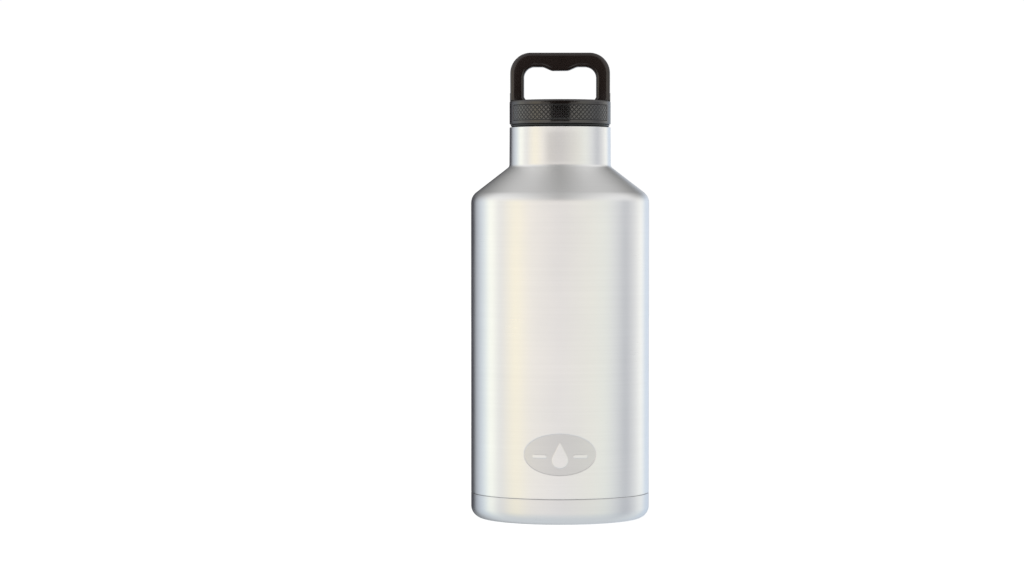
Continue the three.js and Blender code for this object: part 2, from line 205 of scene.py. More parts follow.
def loft(points, wrap=True):
    """Vertices and faces of closed loops joined in order. Without wrap, a cap closes each end."""
    columns, count = points.shape[:2]
    index = np.arange(columns * count).reshape(columns, count)
    near, far = (index, np.roll(index, -1, axis=0)) if wrap else (index[:-1], index[1:])
    quads = np.stack([near, far, np.roll(far, -1, axis=1), np.roll(near, -1, axis=1)], axis=-1)
    faces = quads.reshape(-1, 4).tolist()
    if not wrap:
        faces += [index[0].tolist(), index[-1][::-1].tolist()]
    return points.reshape(-1, 3), faces


def block(low, high):
    """A plain box as a loft, for cutting slots and adding tenons."""
    (x0, y0, z0), (x1, y1, z1) = low, high
    section = [(x0, y0), (x1, y0), (x1, y1), (x0, y1)]
    return loft(np.array([[(x, y, z) for x, y in section] for z in (z0, z1)], float), wrap=False)


def make_mesh(name, vertices, faces, crease=32, attributes=None):
    """A cleaned mesh with smooth faces, and sharp edges over `crease` degrees."""
    mesh = bpy.data.meshes.new(name)
    mesh.from_pydata(vertices.tolist(), [], faces)
    for key, values in (attributes or {}).items():
        layer = mesh.attributes.new(key, "FLOAT", "POINT")
        layer.data.foreach_set("value", np.asarray(values, np.float32).ravel())
    work = bmesh.new()
    work.from_mesh(mesh)
    bmesh.ops.remove_doubles(work, verts=work.verts, dist=1e-4)
    loose = [e for e in work.edges if not e.link_faces]
    bmesh.ops.delete(work, geom=loose, context="EDGES")
    bmesh.ops.recalc_face_normals(work, faces=work.faces)
    work.to_mesh(mesh)
    work.free()
    mesh.polygons.foreach_set("use_smooth", [True] * len(mesh.polygons))
    mesh.set_sharp_from_angle(angle=math.radians(crease))
    return mesh


def combine(mesh, others, crease=32):
    """Cuts or joins (operation, vertices, faces) solids into a mesh, which it returns anew."""
    base = bpy.data.objects.new("base", mesh)
    bpy.context.scene.collection.objects.link(base)
    helpers = []
    for operation, vertices, faces in others:
        helper = bpy.data.objects.new("helper", make_mesh("helper", vertices, faces))
        bpy.context.scene.collection.objects.link(helper)
        helpers.append(helper)
        modifier = base.modifiers.new(operation, "BOOLEAN")
        modifier.operation = operation
        modifier.solver = "MANIFOLD"
        modifier.object = helper
    bpy.context.view_layer.update()
    evaluated = base.evaluated_get(bpy.context.evaluated_depsgraph_get())
    result = bpy.data.meshes.new_from_object(evaluated)
    for leftover in [base, *helpers]:
        bpy.data.objects.remove(leftover)
    result.polygons.foreach_set("use_smooth", [True] * len(result.polygons))
    result.set_sharp_from_angle(angle=math.radians(crease))
    return result


def add_piece(name, mesh, body, slot, material, *nodes):
    """A visible piece, scaled to metres, that rides on a body and stands for CAD nodes."""
    mesh.name = name
    mesh.transform(Matrix.Scale(MM, 4))
    mesh.materials.clear()
    mesh.materials.append(material)
    piece = bpy.data.objects.new(name, mesh)
    bpy.context.scene.collection.objects.link(piece)
    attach(piece, body)
    if nodes:
        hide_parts(*nodes)
    return piece


# ---------------------------------------------------------------- materials

def new_material(name, **values):
    """A Principled material, with values that are the same all over set on its own sockets."""
    material = bpy.data.materials.new(name)
    material.use_nodes = True
    shader = material.node_tree.nodes["Principled BSDF"]
    for key, value in values.items():
        shader.inputs[key.replace("_", " ")].default_value = value
    return material, material.node_tree, shader


def node(tree, kind, inputs=None, **settings):
    """Adds a node. Each input is a value, or the output socket that feeds it."""
    made = tree.nodes.new(kind)
    for key, value in settings.items():
        setattr(made, key, value)
    for key, value in (inputs or {}).items():
        if isinstance(value, bpy.types.NodeSocket):
            tree.links.new(value, made.inputs[key])
        else:
            made.inputs[key].default_value = value
    return made


def maths(tree, operation, a, b=0.0):
    return node(tree, "ShaderNodeMath", {0: a, 1: b}, operation=operation).outputs[0]


def rescaled(tree, value, low, high, new_low, new_high):
    inputs = {"Value": value, "From Min": low, "From Max": high,
              "To Min": new_low, "To Max": new_high}
    return node(tree, "ShaderNodeMapRange", inputs).outputs[0]


def mixed(tree, factor, a, b, blend="MIX"):
    """A mix of two colours, each given as three numbers or as a socket."""
    colours = [(*c, 1) if isinstance(c, tuple) and len(c) == 3 else c for c in (a, b)]
    inputs = {"Factor": factor, "A": colours[0], "B": colours[1]}
    made = node(tree, "ShaderNodeMix", data_type="RGBA", blend_type=blend)
    for key, value in inputs.items():
        socket = next(s for s in made.inputs if s.name == key and s.enabled)
        if isinstance(value, bpy.types.NodeSocket):
            tree.links.new(value, socket)
        else:
            socket.default_value = value
    return next(s for s in made.outputs if s.enabled)


def noise(tree, vector, scale, detail=3, roughness=0.5):
    inputs = {"Vector": vector, "Scale": scale, "Detail": detail, "Roughness": roughness}
    return node(tree, "ShaderNodeTexNoise", inputs).outputs[0]


def bump(tree, shader, height, distance, strength=1.0, normal=None):
    inputs = {"Height": height, "Distance": distance, "Strength": strength}
    if normal:
        inputs["Normal"] = normal
    result = node(tree, "ShaderNodeBump", inputs).outputs[0]
    tree.links.new(result, shader.inputs["Normal"])
    return result


def object_place(tree):
    return node(tree, "ShaderNodeTexCoord").outputs["Object"]


def brush_vector(tree, along, across, side):
    """A place in metres, stretched round Z, so that a noise read from it runs in brush lines.
    Each line keeps its z + side * radius, so that it lies along flat discs as well."""
    place = node(tree, "ShaderNodeSeparateXYZ", {0: object_place(tree)})
    x, y, z = place.outputs
    radius = maths(tree, "SQRT", maths(tree, "ADD", maths(tree, "MULTIPLY", x, x),
                                       maths(tree, "MULTIPLY", y, y)))
    level = maths(tree, "ADD", z, maths(tree, "MULTIPLY", radius, side))
    parts = {0: maths(tree, "MULTIPLY", x, along), 1: maths(tree, "MULTIPLY", y, along),
             2: maths(tree, "MULTIPLY", level, across)}
    return node(tree, "ShaderNodeCombineXYZ", parts).outputs[0]


def brushed_metal(name, dark, light, side, roughness, anisotropy=0.75, line_depth=0.003,
                  etched=False):
    """Metal brushed round Z: fine lines, faint broader bands, and a little handling haze."""
    material, tree, shader = new_material(name, Metallic=1.0, Anisotropic=anisotropy,
                                          Anisotropic_Rotation=0.25)
    tangent = node(tree, "ShaderNodeTangent", direction_type="RADIAL", axis="Z")
    tree.links.new(tangent.outputs[0], shader.inputs["Tangent"])
    lines = noise(tree, brush_vector(tree, 45, 3600, side), 1, 4, 0.65)
    bands = noise(tree, brush_vector(tree, 9, 900, side), 1, 3)
    haze = noise(tree, object_place(tree), 26, 3)
    colour = mixed(tree, rescaled(tree, bands, 0.3, 0.7, 0, 1), dark, light)
    grain = rescaled(tree, lines, 0.25, 0.75, roughness - 0.02, roughness + 0.02)
    rough = maths(tree, "ADD", grain, rescaled(tree, haze, 0.35, 0.7, -0.015, 0.03))
    if etched:
        mask = node(tree, "ShaderNodeAttribute", attribute_name="etched").outputs["Fac"]
        tone = mixed(tree, mask, (1.0, 1.0, 1.0), (0.87, 0.865, 0.865))
        colour = mixed(tree, 1.0, colour, tone, "MULTIPLY")
        rough = maths(tree, "ADD", rough, maths(tree, "MULTIPLY", mask, 0.08))
    tree.links.new(colour, shader.inputs["Base Color"])
    tree.links.new(rough, shader.inputs["Roughness"])
    bump(tree, shader, lines, line_depth * MM)
    return material


def moulded_plastic(name, dark, light, roughness, grain, grain_depth, level=0.5, ior=1.5):
    """Dark moulded plastic with a spark-eroded grain and a faint drift in gloss."""
    material, tree, shader = new_material(name, Specular_IOR_Level=level, IOR=ior)
    place = object_place(tree)
    drift = noise(tree, place, 60, 3)
    fine = noise(tree, place, grain, 3, 0.6)
    tree.links.new(mixed(tree, rescaled(tree, drift, 0.3, 0.7, 0, 1), dark, light),
                   shader.inputs["Base Color"])
    gloss = rescaled(tree, drift, 0.3, 0.7, roughness - 0.03, roughness + 0.03)
    rough = maths(tree, "ADD", gloss, rescaled(tree, fine, 0.3, 0.7, -0.03, 0.03))
    tree.links.new(rough, shader.inputs["Roughness"])
    bump(tree, shader, fine, grain_depth * MM)
    return material


def rough_metal(name, dark, light, roughness, scale, depth):
    """Metal with an uneven surface: foil creases, pressed powder or a plain sheet."""
    material, tree, shader = new_material(name, Metallic=1.0)
    place = object_place(tree)
    uneven = noise(tree, place, scale, 4, 0.6)
    tree.links.new(mixed(tree, rescaled(tree, uneven, 0.3, 0.7, 0, 1), dark, light),
                   shader.inputs["Base Color"])
    tree.links.new(rescaled(tree, uneven, 0.3, 0.7, roughness - 0.08, roughness + 0.08),
                   shader.inputs["Roughness"])
    bump(tree, shader, uneven, depth * MM)
    return material


def foam_material():
    """Rigid insulating foam: a pale body full of small closed cells."""
    material, tree, shader = new_material("rigid_foam", Roughness=0.95, Specular_IOR_Level=0.2)
    place = object_place(tree)
    cells = node(tree, "ShaderNodeTexVoronoi", {"Vector": place, "Scale": 1400})
    tree.links.new(mixed(tree, rescaled(tree, noise(tree, place, 90), 0.3, 0.7, 0, 1),
                         (0.74, 0.68, 0.5), (0.86, 0.81, 0.66)), shader.inputs["Base Color"])
    bump(tree, shader, cells.outputs["Distance"], 0.2 * MM)
    return material


def glass_bead_material():
    material, tree, shader = new_material("fused_glass", IOR=1.5, Coat_Weight=0.5)
    swirl = noise(tree, object_place(tree), 700, 2)
    tree.links.new(mixed(tree, rescaled(tree, swirl, 0.3, 0.7, 0, 1),
                         (0.13, 0.15, 0.12), (0.24, 0.26, 0.21)), shader.inputs["Base Color"])
    tree.links.new(rescaled(tree, swirl, 0.3, 0.7, 0.08, 0.2), shader.inputs["Roughness"])
    return material


shell_steel = brushed_metal("shell_brushed_steel", (0.875, 0.872, 0.865), (0.895, 0.892, 0.885),
                            -1, 0.3, etched=True)
base_steel = brushed_metal("base_brushed_steel", (0.80, 0.803, 0.81), (0.82, 0.823, 0.83), 1, 0.3)
disc_steel = brushed_metal("base_disc_spun_steel", (0.7, 0.69, 0.67), (0.78, 0.77, 0.75), 1, 0.33)
inner_steel = brushed_metal("liner_satin_steel", (0.6, 0.59, 0.57), (0.68, 0.67, 0.65), -1, 0.36,
                            anisotropy=0.3, line_depth=0.006)
satin_black = moulded_plastic("satin_black_plastic", (0.0165, 0.0108, 0.0094),
                              (0.0195, 0.0128, 0.0112), 0.2, 2600, 0.012, 0.6)
cap_black = moulded_plastic("cap_black_plastic", (0.009, 0.006, 0.005),
                            (0.012, 0.008, 0.007), 0.22, 2600, 0.01, 1.0)
knurled_black = moulded_plastic("knurled_black_plastic", (0.005, 0.0035, 0.003),
                                (0.008, 0.0055, 0.005), 0.17, 3200, 0.003, 1.0, ior=1.6)
gloss_black = moulded_plastic("gloss_black_plastic", (0.004, 0.0035, 0.003),
                              (0.006, 0.005, 0.0045), 0.16, 500, 0.004, 0.6)
black_rubber = moulded_plastic("black_silicone", (0.008, 0.008, 0.008), (0.014, 0.014, 0.014),
                               0.3, 1500, 0.008, 0.5)
copper_foil = rough_metal("copper_foil", (0.78, 0.42, 0.26), (0.86, 0.52, 0.34), 0.24, 180, 0.05)
getter_alloy = rough_metal("getter_alloy", (0.16, 0.16, 0.17), (0.3, 0.3, 0.32), 0.7, 2600, 0.04)
strip_steel = rough_metal("getter_strip_steel", (0.6, 0.59, 0.57), (0.7, 0.69, 0.67),
                          0.32, 400, 0.01)
rigid_foam = foam_material()
fused_glass = glass_bead_material()


# ---------------------------------------------------------------- flask, outside

def emblem(u, z):
    """How far a point on the front is let into the steel, from 0 to 1: an oval field, with
    a drop and a bar on each side of it that stay proud."""
    edge = 0.16  # half the width of the sloping edge
    half_width, half_height = 24, 13.5
    radius, height, drop_z = 5.2, 11.5, -3.6  # the drop, whose tip is `height` over its middle
    bar_x, bar_z, bar_half, bar_radius = 13.4, -1.2, 3.6, 1.1
    k1 = np.hypot(u / half_width, z / half_height)
    k2 = np.hypot(u / half_width ** 2, z / half_height ** 2)
    oval = k1 * (k1 - 1) / np.maximum(k2, 1e-9)  # near enough the distance out from the oval
    slope = radius / height
    run = math.sqrt(1 - slope * slope)
    across, up = np.abs(u), z - drop_z
    on_side = up * run - across * slope
    side = across * run + up * slope - radius
    drop = np.where(on_side > run * height, np.hypot(across, up - height), side)
    drop = np.where(on_side < 0, np.hypot(across, up) - radius, drop)
    bar = np.hypot(np.maximum(np.abs(across - bar_x) - bar_half, 0), z - bar_z) - bar_radius
    proud = np.minimum(drop, bar)
    return (1 - smooth_step(oval, -edge, edge)) * smooth_step(proud, -edge, edge)


def build_shell():
    wall = SHELL_WALL
    emblem_z, emblem_reach, emblem_depth = 46, 15, 0.28
    emblem_columns, other_columns, emblem_angle = 200, 160, math.radians(25.5)
    path = rounded([
        (BODY_RADIUS, SHELL_BOTTOM, 0.32),
        *shoulder(BODY_RADIUS, NECK_RADIUS, 0, BODY_FILLET, NECK_FILLET),
        (RIM_RADIUS, RIM_TOP, 0.28),
        (RIM_RADIUS - wall, RIM_TOP, 0.28),
        *reversed(shoulder(BODY_RADIUS - wall, NECK_RADIUS - wall, wall, BODY_FILLET - wall,
                           NECK_FILLET + wall)),
        (BODY_RADIUS - wall, SHELL_BOTTOM, 0.22),
    ], step=8)
    path = with_rows(path, emblem_z - emblem_reach, emblem_z + emblem_reach, 0.25, BODY_RADIUS)
    front = -math.pi / 2
    fine = front + np.linspace(-emblem_angle, emblem_angle, emblem_columns)
    coarse = np.linspace(front + emblem_angle, front + TAU - emblem_angle, other_columns)[1:-1]
    points = lathe(path, np.concatenate([fine, coarse]))
    radius, angle = polar(points)
    turned = (angle - front + math.pi) % TAU - math.pi
    outside = radius > BODY_RADIUS - wall / 4
    above = points[..., 2] - emblem_z
    near = outside & (np.abs(turned) < emblem_angle) & (np.abs(above) < emblem_reach)
    depth = np.where(near, emblem(turned * BODY_RADIUS, above), 0)
    points = with_radius(points, radius - emblem_depth * depth)
    mesh = make_mesh("shell", *loft(points), attributes={"etched": depth})
    add_piece("shell_skin", mesh, "bottle", "brushed_steel", shell_steel, "outer_shell")


def build_base():
    wall = SHELL_WALL
    top = SHELL_BOTTOM - GAP
    lap = BODY_RADIUS - wall - GAP
    hollow_z, dimple_z, hole, corner = 3.5, 5.5, 1, 8
    path = rounded([
        (hole, dimple_z, 0.15), (5, dimple_z, 1.5), (8, hollow_z, 1.5), (44, hollow_z, 1),
        (46, 0, 1), (BODY_RADIUS, 0, corner), (BODY_RADIUS, top, 0.32), (lap, top, 0.1),
        (lap, cup_high.z, 0.2), (lap - wall, cup_high.z, 0.2), (lap - wall, top - wall, 2),
        (BODY_RADIUS - wall, 10, 2),
        *arc(BODY_RADIUS - corner, corner, corner - wall, 0, -90, 10),
        (46.3, wall, 1), (44.3, hollow_z + wall, 1), (8.3, hollow_z + wall, 1),
        (5.3, dimple_z + wall, 1), (hole, dimple_z + wall, 0.15),
    ], step=8)
    mesh = make_mesh("cup", *loft(lathe(path, ring_angles(256))))
    add_piece("base_cup_skin", mesh, "bottle", "brushed_steel", base_steel, "base_cup")

    low, high, edge = cover_low.z, cover_high.z, cover_high.x
    stamped = 0.28  # depth of the disc's stamped rings
    path = rounded([
        (0, low + stamped, 0), (12, low + stamped, 1), (13, low, 1), (35.6, low, 0.6),
        (36.2, low + stamped, 0.5), (38.4, low + stamped, 0.5), (39, low, 0.6), (edge, low, 0.25),
        (edge, high, 0.1), (0, high, 0),
    ])
    mesh = make_mesh("disc", *loft(lathe(path, ring_angles(160))))
    add_piece("base_disc", mesh, "bottle", "base_disc_steel", disc_steel, "base_cover")

    path = rounded([(0, bead_low.z, 0), (2.4, bead_low.z, 1.2),
                    (bead_high.x, bead_high.z - 0.35, 0.3), (3, bead_high.z, 0.1),
                    (0, bead_high.z, 0)])
    mesh = make_mesh("bead", *loft(lathe(path, ring_angles(48))))
    add_piece("vacuum_bead", mesh, "bottle", "sealing_glass", fused_glass, "vacuum_seal")


# ---------------------------------------------------------------- flask, inside

def thread_height(angle, z, start, turns, z_at_zero, root_width, crest_width):
    """From 0 to 1, how far a right-hand ridge stands at each place. It runs out at both ends."""
    level = (z - z_at_zero) / THREAD_LEAD
    turn = angle / TAU + np.round(level - angle / TAU)
    inside = np.minimum(turn - start, start + turns - turn)
    rise = smooth_step(inside, 0, 0.125)
    away = np.abs(z - z_at_zero - turn * THREAD_LEAD)
    return rise * (1 - smooth_step(away, crest_width / 2, root_width / 2 + 0.12))


def build_liner():
    wall = LINER_WALL
    neck = LINER_NECK_RADIUS
    bore, ledge_z = 31.8, 256.3
    thread_low, thread_high, ridge_depth = 243, 256, 1.2
    flange = RIM_RADIUS - SHELL_WALL - GAP
    bottom = liner_low.z
    path = rounded([
        (LINER_RADIUS, bottom, 0.2), *shoulder(LINER_RADIUS, neck, LINER_INSET, 7, 5),
        (neck, ledge_z - wall, 0.2), (bore + wall, ledge_z - wall, 0.3),
        (bore + wall, RIM_TOP - wall, 0.1), (flange, RIM_TOP - wall, 0.1), (flange, RIM_TOP, 0.1),
        (bore, RIM_TOP, 0.4), (bore, ledge_z, 0.2), (neck - wall, ledge_z, 0.3),
        *reversed(shoulder(LINER_RADIUS - wall, neck - wall, LINER_INSET + wall, 6.5, 5.5)),
        (LINER_RADIUS - wall, bottom, 0.2),
    ], step=8)
    path = with_rows(path, thread_low, thread_high, 0.2, neck - wall)
    points = lathe(path, ring_angles(224))
    radius, angle = polar(points)
    z = points[..., 2]
    in_neck = (np.abs(radius - (neck - wall)) < 0.02) & (z > thread_low)
    ridge = thread_height(angle, z, start=0.125, turns=1.875, z_at_zero=246.2, root_width=2,
                          crest_width=1)
    points = with_radius(points, np.where(in_neck, radius - ridge_depth * ridge, radius))
    mesh = make_mesh("liner", *loft(points))
    add_piece("liner_skin", mesh, "bottle", "inner_steel", inner_steel, "inner_liner")

    floor, top = liner_bottom_low.z, bottom - GAP
    lap, corner = LINER_RADIUS - wall - GAP, 6
    path = rounded([
        (0, floor, 0), (LINER_RADIUS, floor, corner), (LINER_RADIUS, top, 0.1), (lap, top, 0.1),
        (lap, liner_bottom_high.z, 0.15), (lap - wall, liner_bottom_high.z, 0.15),
        (lap - wall, top - wall, 0.2),
        *arc(LINER_RADIUS - corner, floor + corner, corner - wall, -10, -90, 8),
        (0, floor + wall, 0),
    ], step=8)
    mesh = make_mesh("liner_floor", *loft(lathe(path, ring_angles(192))))
    add_piece("liner_bottom_skin", mesh, "bottle", "inner_steel", inner_steel, "liner_bottom")

    thickness, crease_depth = 0.2, 0.06
    inner, outer = foil_high.x - thickness, foil_high.x
    path = [(outer, z) for z in np.arange(foil_low.z, foil_high.z + 0.1, 3)]
    path += [(inner, z) for z in np.arange(foil_high.z, foil_low.z - 0.1, -3)]
    points = lathe(path, ring_angles(180))
    radius, angle = polar(points)
    z = points[..., 2]
    creases = np.sin(angle * 11 + z * 0.21) * np.sin(z * 0.37 + 3 * angle)
    crumpled = with_radius(points, radius + crease_depth * creases - crease_depth)
    mesh = make_mesh("foil", *loft(crumpled))
    add_piece("copper_wrap", mesh, "bottle", "copper_foil", copper_foil, "heat_shield_foil")

    centre_x = (pellet_low.x + pellet_high.x) / 2
    rim = (pellet_high.x - pellet_low.x) / 2
    path = rounded([(0, pellet_low.z, 0), (rim, pellet_low.z, 0.4), (rim, pellet_high.z, 0.4),
                    (0, pellet_high.z, 0)])
    points = lathe(path, ring_angles(64)) + np.array([centre_x, 0, 0])
    mesh = make_mesh("pellet", *loft(points))
    add_piece("getter_tablet", mesh, "bottle", "getter_alloy", getter_alloy, "getter_pellet")
    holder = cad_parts["getter_holder"]  # a plain bent strip, which keeps its CAD shape
    holder.data.materials.clear()
    holder.data.materials.append(strip_steel)


def build_seals():
    bore, skirt, shelf_z = 30.8, 31.5, RIM_TOP + GAP
    path = rounded([
        (bore, ring_low.z, 0.15), (skirt, ring_low.z, 0.2), (skirt, shelf_z, 0.05),
        (32.1, shelf_z, 0.15), (32.9, ring_high.z, 0.2), (bore, ring_high.z, 0.35),
    ])
    mesh = make_mesh("ring", *loft(lathe(path, ring_angles(224))))
    add_piece("mouth_gasket", mesh, "bottle", "black_rubber", black_rubber, "mouth_ring")

    inner = 28.6
    path = rounded([(inner, seal_low.z, 0.25), (PLUG_CREST, seal_low.z, 0.6),
                    (PLUG_CREST, seal_high.z, 0.6), (inner, seal_high.z, 0.25)])
    mesh = make_mesh("o_ring", *loft(lathe(path, ring_angles(224))))
    add_piece("plug_gasket", mesh, "seal", "black_rubber", black_rubber, "lid_seal")


# ---------------------------------------------------------------- lid

def build_plug():
    floor = end_high.z + GAP
    bottom = plug_low.z
    groove, groove_z = 28.3, seal_low.z - GAP
    path = rounded([
        (0, floor, 0), (PLUG_BORE, floor, 0.3), (PLUG_BORE, bottom, 0.2),
        (PLUG_ROOT, bottom, 0.35), (PLUG_ROOT, groove_z, 0.25), (groove, groove_z, 0.2),
        (groove, CAP_BOTTOM, 0.2), (plug_high.x, CAP_BOTTOM, 0.2), (plug_high.x, plug_high.z, 0.4),
        (PLUG_BORE, plug_high.z, 0.4), (PLUG_BORE, foam_low.z - GAP, 1.5),
        (0, foam_low.z - GAP, 0),
    ])
    path = with_rows(path, bottom + 0.8, groove_z - 0.4, 0.2, PLUG_ROOT)
    points = lathe(path, ring_angles(224))
    radius, angle = polar(points)
    ridge = thread_height(angle, points[..., 2], start=-0.25, turns=2.375, z_at_zero=248.2,
                          root_width=1.9, crest_width=1)
    on_wall = np.abs(radius - PLUG_ROOT) < 0.02
    threaded = radius + (PLUG_CREST - PLUG_ROOT) * ridge
    points = with_radius(points, np.where(on_wall, threaded, radius))
    mesh = make_mesh("plug", *loft(points))
    add_piece("plug_skin", mesh, "lid", "gloss_black_plastic", gloss_black, "threaded_plug")

    seam = bottom - GAP
    spigot = PLUG_BORE - GAP
    end_wall = 2
    path = rounded([
        (0, end_low.z, 0), (PLUG_ROOT, end_low.z, 3), (PLUG_ROOT, seam, 0.35), (spigot, seam, 0.1),
        (spigot, end_high.z, 0.2), (spigot - end_wall, end_high.z, 0.2),
        (spigot - end_wall, end_low.z + end_wall, 1.5), (0, end_low.z + end_wall, 0),
    ])
    mesh = make_mesh("plug_end", *loft(lathe(path, ring_angles(192))))
    add_piece("plug_end_skin", mesh, "lid", "gloss_black_plastic", gloss_black, "plug_end_cap")

    path = rounded([(0, foam_low.z, 0), (foam_high.x, foam_low.z, 1.3),
                    (foam_high.x, foam_high.z, 0.5), (0, foam_high.z, 0)])
    mesh = make_mesh("foam", *loft(lathe(path, ring_angles(96))))
    add_piece("foam_fill", mesh, "lid", "insulating_foam", rigid_foam, "foam_core")


def build_cap():
    panel_bottom, panel_top = panel_low.z - GAP, panel_high.z + GAP
    path = rounded([
        (CAP_BORE, CAP_BOTTOM, 0.3), (CAP_RADIUS, CAP_BOTTOM, 0.7), (CAP_RADIUS, CAP_TOP, 1.5),
        (0, CAP_TOP, 0), (0, CAP_TOP - CAP_DECK, 0), (CAP_BORE, CAP_TOP - CAP_DECK, 0.8),
    ])
    for edge_z in (panel_bottom, panel_top):
        path = with_rows(path, edge_z - 0.3, edge_z + 0.3, 0.1, CAP_RADIUS)
    edges = [direction + side * PANEL_HALF_ANGLE
             for direction in (-math.pi / 2, math.pi / 2) for side in (-1, 1)]
    fine = np.concatenate([edge + np.radians(np.linspace(-0.6, 0.6, 9)) for edge in edges])
    even = ring_angles(220)
    clear = [a for a in even if all(abs((a - f + math.pi) % TAU - math.pi) > 0.01 for f in fine)]
    angles = np.sort(np.concatenate([np.mod(fine, TAU), clear]))
    points = lathe(path, angles)
    radius, angle = polar(points)
    z = points[..., 2]
    from_middle = np.abs(np.abs(angle) - math.pi / 2)  # of the nearer panel
    arc_in = (PANEL_HALF_ANGLE - from_middle) * CAP_RADIUS
    soft = 0.15
    mask = (smooth_step(arc_in, -soft, soft) * smooth_step(z - panel_bottom, -soft, soft)
            * smooth_step(panel_top - z, -soft, soft))
    on_wall = radius > CAP_RADIUS - 0.02
    points = with_radius(points, np.where(on_wall, radius - PANEL_RECESS * mask, radius))
    mesh = make_mesh("cap", *loft(points))

    slot_y = TENON_HALF_DEPTH + GAP
    slot_low, slot_high = CAP_TOP - CAP_DECK - 1, CAP_TOP + 1
    parts = []
    for side in (1, -1):
        parts.append(("UNION", *ear(side)))
        x = sorted((side * (TENON_INNER_X - GAP), side * (TENON_OUTER_X + GAP)))
        slot = block((x[0], -slot_y, slot_low), (x[1], slot_y, slot_high))
        parts.append(("DIFFERENCE", *slot))
    mesh = combine(mesh, parts)
    add_piece("cap_skin", mesh, "lid", "satin_black_plastic", cap_black, "cap_shell")


def ear(side):
    """A tab of the cap, with rounded top corners, that rises in the side of a handle leg."""
    half_depth, top = EAR_HALF_DEPTH, cap_high.z
    sink = 3
    outline = rounded([(-half_depth, CAP_TOP - sink, 0), (half_depth, CAP_TOP - sink, 0),
                       (half_depth, top, 1.6), (-half_depth, top, 1.6)])
    round_over = 0.25
    sections = []
    for depth, trim in ((0, round_over), (round_over, 0), (0.8, 0)):
        section = []
        for y, z in outline:
            y = math.copysign(max(abs(y) - trim, 0), y)
            z = min(z, top - trim)
            section.append((math.sqrt(EAR_RADIUS ** 2 - y ** 2) - depth, y, z))
        sections.append(section)
    sections.append([(EAR_INNER_X, y, z) for y, z in outline])
    points = np.array(sections, float)
    points[..., :2] *= side
    return loft(points, wrap=False)


def build_panel(name, direction, cad_node):
    """A curved plate with diamonds in relief, parted by V grooves, inside a narrow border."""
    inner, outer = CAP_RADIUS - PANEL_RECESS + 0.12, CAP_RADIUS - 0.1
    pitch, groove_depth, groove_reach, border, sunk_rim = 3.1, 0.46, 0.32, 0.3, 0.12
    cell = pitch / 24
    low, high = panel_low.z, panel_high.z
    half_length = (PANEL_HALF_ANGLE - GAP / inner) * outer
    half_height = (high - low) / 2
    along, up = (np.concatenate([[-half], np.arange(-n, n + 1) * cell, [half]])
                 for half, n in ((half_length, int(half_length / cell - 0.2)),
                                 (half_height, int(half_height / cell - 0.2))))
    middle = (low + high) / 2
    path = [(outer, middle + v) for v in up] + [(inner, high), (inner, low)]
    points = lathe(path, direction + along / outer)
    radius, angle = polar(points)
    u = ((angle - direction + math.pi) % TAU - math.pi) * outer
    v = points[..., 2] - middle
    inset = np.minimum(half_length - np.abs(u), half_height - np.abs(v))
    to_groove = [np.abs((u + sign * v) / pitch % 1 - 0.5) for sign in (1, -1)]
    flat = np.clip(2 * np.minimum(*to_groove) / groove_reach, 0, 1)
    plain = 1 - smooth_step(inset, border, border + 0.15)
    height = groove_depth * (np.maximum(flat, plain) - 1)
    rim = smooth_step(inset, 0, 0.2) * sunk_rim - sunk_rim
    on_face = radius > outer - 0.02
    points = with_radius(points, np.where(on_face, radius + height + rim, radius))
    mesh = make_mesh(name, *loft(points, wrap=False), crease=35)
    add_piece(name, mesh, "lid", "knurled_black_plastic", knurled_black, cad_node)


